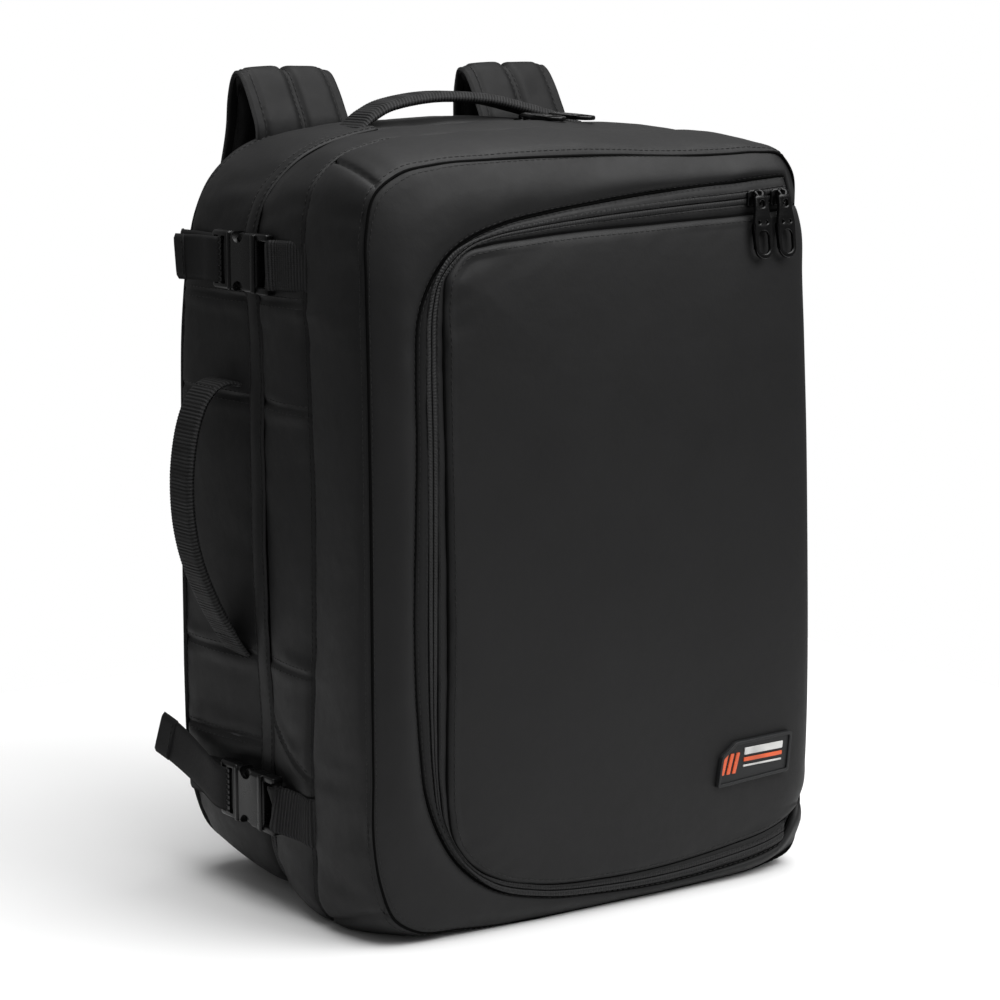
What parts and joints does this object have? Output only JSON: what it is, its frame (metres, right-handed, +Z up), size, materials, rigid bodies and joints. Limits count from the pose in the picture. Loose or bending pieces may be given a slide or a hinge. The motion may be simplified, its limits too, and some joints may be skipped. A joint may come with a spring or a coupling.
{
  "type": "travel backpack",
  "caption": "Boxy cabin-size travel backpack with a clamshell main zip, zipped front pocket flap, side compression straps, carry handles and padded shoulder straps.",
  "frame": {"origin": "on the flat base, on the mirror plane of the body, in line with the front to back midpoint between the front and rear seams", "axes": "+Z up, the front pocket faces -Y, the padded back panel faces +Y, +X is to the right as the front is seen"},
  "size_m": [0.3368, 0.2529, 0.4452],
  "materials": {
    "body_fabric": "smooth coated polyester, faint sheen",
    "lining": "thin woven lining",
    "board": "matt sheet",
    "back_mesh": "padded spacer mesh",
    "zip": "coil and woven tape, matt",
    "webbing": "ribbed webbing",
    "buckle_plastic": "satin moulded acetal",
    "slider_metal": "gloss black",
    "patch_rubber": "soft moulded rubber"
  },
  "bodies": {
    "rear_half": {"rear_gusset": "body_fabric", "back_panel": "back_mesh", "back_stiffener": "board", "laptop_sleeve": "lining", "main_zip_rear": "zip", "rain_flap": "body_fabric", "base_strip": "body_fabric", "top_handle_tabs": "webbing", "side_handle_tabs": "webbing", "shoulder_strap_left": "body_fabric", "shoulder_strap_right": "body_fabric", "strap_yoke": "body_fabric", "ladder_lock_left": "buckle_plastic", "ladder_lock_right": "buckle_plastic", "lower_web_left": "webbing", "lower_web_right": "webbing", "wing_tab_left": "body_fabric", "wing_tab_right": "body_fabric", "compression_webs_rear": "webbing"},
    "front_half": {"front_gusset": "body_fabric", "middle_gusset": "body_fabric", "front_panel": "body_fabric", "pocket_back": "lining", "pocket_zip_shell": "zip", "main_zip_front": "zip", "compression_webs_front": "webbing", "female_buckle_upper_left": "buckle_plastic", "female_buckle_upper_right": "buckle_plastic", "female_buckle_lower_left": "buckle_plastic", "female_buckle_lower_right": "buckle_plastic"},
    "flap": {"pocket_flap": "body_fabric", "pocket_zip_flap": "zip", "flap_hinge_strip": "body_fabric", "rubber_patch": "patch_rubber"},
    "carry_handle": {"top_handle": "webbing"},
    "grab_handle": {"side_handle": "webbing"},
    "main_slider_left": {"main_slider_left": "slider_metal"},
    "main_slider_right": {"main_slider_right": "slider_metal"},
    "main_pull_left": {"main_pull_left": "slider_metal"},
    "main_pull_right": {"main_pull_right": "slider_metal"},
    "pocket_slider_left": {"pocket_slider_left": "slider_metal"},
    "pocket_slider_right": {"pocket_slider_right": "slider_metal"},
    "pocket_pull_left": {"pocket_pull_left": "slider_metal"},
    "pocket_pull_right": {"pocket_pull_right": "slider_metal"},
    "clip_upper_left": {"male_buckle_upper_left": "buckle_plastic", "strap_tail_upper_left": "webbing"},
    "clip_upper_right": {"male_buckle_upper_right": "buckle_plastic", "strap_tail_upper_right": "webbing"},
    "clip_lower_left": {"male_buckle_lower_left": "buckle_plastic", "strap_tail_lower_left": "webbing"},
    "clip_lower_right": {"male_buckle_lower_right": "buckle_plastic", "strap_tail_lower_right": "webbing"}
  },
  "joints": [
    {"name": "front_half_opens", "type": "hinge", "parent": "rear_half", "child": "front_half", "pos_m": [0, 0.0066, 0], "axis": [1, 0, 0], "range_deg": [0, 110]},
    {"name": "pocket_flap_opens", "type": "hinge", "parent": "front_half", "child": "flap", "pos_m": [0.128, -0.103, 0.193], "axis": [0, 0, 1], "range_deg": [0, 110]},
    {"name": "carry_handle_flexes", "type": "hinge", "parent": "rear_half", "child": "carry_handle", "pos_m": [0, 0.032, 0.427], "axis": [1, 0, 0], "range_deg": [-20, 25], "stiffness_Nm_per_rad": 0.02},
    {"name": "grab_handle_flexes", "type": "hinge", "parent": "rear_half", "child": "grab_handle", "pos_m": [-0.1566, 0.038, 0.2115], "axis": [0, 0, 1], "range_deg": [-28, 28], "stiffness_Nm_per_rad": 0.02},
    {"name": "main_slider_left_runs", "type": "slide", "parent": "rear_half", "child": "main_slider_left", "axis": [1, 0, 0], "range_m": [-0.1, 0.003]},
    {"name": "main_pull_left_lifts", "type": "hinge", "parent": "main_slider_left", "child": "main_pull_left", "pos_m": [0.03, 0.014, 0.421], "axis": [-1, 0, 0], "range_deg": [0, 75]},
    {"name": "main_slider_right_runs", "type": "slide", "parent": "rear_half", "child": "main_slider_right", "axis": [1, 0, 0], "range_m": [-0.003, 0.02]},
    {"name": "main_pull_right_lifts", "type": "hinge", "parent": "main_slider_right", "child": "main_pull_right", "pos_m": [0.05, 0.014, 0.421], "axis": [-1, 0, 0], "range_deg": [0, 75]},
    {"name": "pocket_slider_left_runs", "type": "slide", "parent": "flap", "child": "pocket_slider_left", "axis": [1, 0, 0], "range_m": [-0.14, 0]},
    {"name": "pocket_pull_left_lifts", "type": "hinge", "parent": "pocket_slider_left", "child": "pocket_pull_left", "pos_m": [0.091, -0.1106, 0.3802], "axis": [-1, 0, 0], "range_deg": [0, 150]},
    {"name": "pocket_slider_right_runs", "type": "slide", "parent": "flap", "child": "pocket_slider_right", "axis": [1, 0, 0], "range_m": [-0.005, 0.001]},
    {"name": "pocket_pull_right_lifts", "type": "hinge", "parent": "pocket_slider_right", "child": "pocket_pull_right", "pos_m": [0.11, -0.1106, 0.3802], "axis": [-1, 0, 0], "range_deg": [0, 150]},
    {"name": "clip_upper_left_slides_back", "type": "slide", "parent": "rear_half", "child": "clip_upper_left", "axis": [0, 1, 0], "range_m": [0, 0.0455]},
    {"name": "clip_upper_right_slides_back", "type": "slide", "parent": "rear_half", "child": "clip_upper_right", "axis": [0, 1, 0], "range_m": [0, 0.0455]},
    {"name": "clip_lower_left_slides_back", "type": "slide", "parent": "rear_half", "child": "clip_lower_left", "axis": [0, 1, 0], "range_m": [0, 0.0455]},
    {"name": "clip_lower_right_slides_back", "type": "slide", "parent": "rear_half", "child": "clip_lower_right", "axis": [0, 1, 0], "range_m": [0, 0.0455]}
  ],
  "couplings": [
    {"joint": "clip_upper_left_slides_back", "follows": "front_half_opens", "m_per_rad": 0.0234},
    {"joint": "clip_upper_right_slides_back", "follows": "front_half_opens", "m_per_rad": 0.0234},
    {"joint": "clip_lower_left_slides_back", "follows": "front_half_opens", "m_per_rad": 0.0234},
    {"joint": "clip_lower_right_slides_back", "follows": "front_half_opens", "m_per_rad": 0.0234}
  ]
}
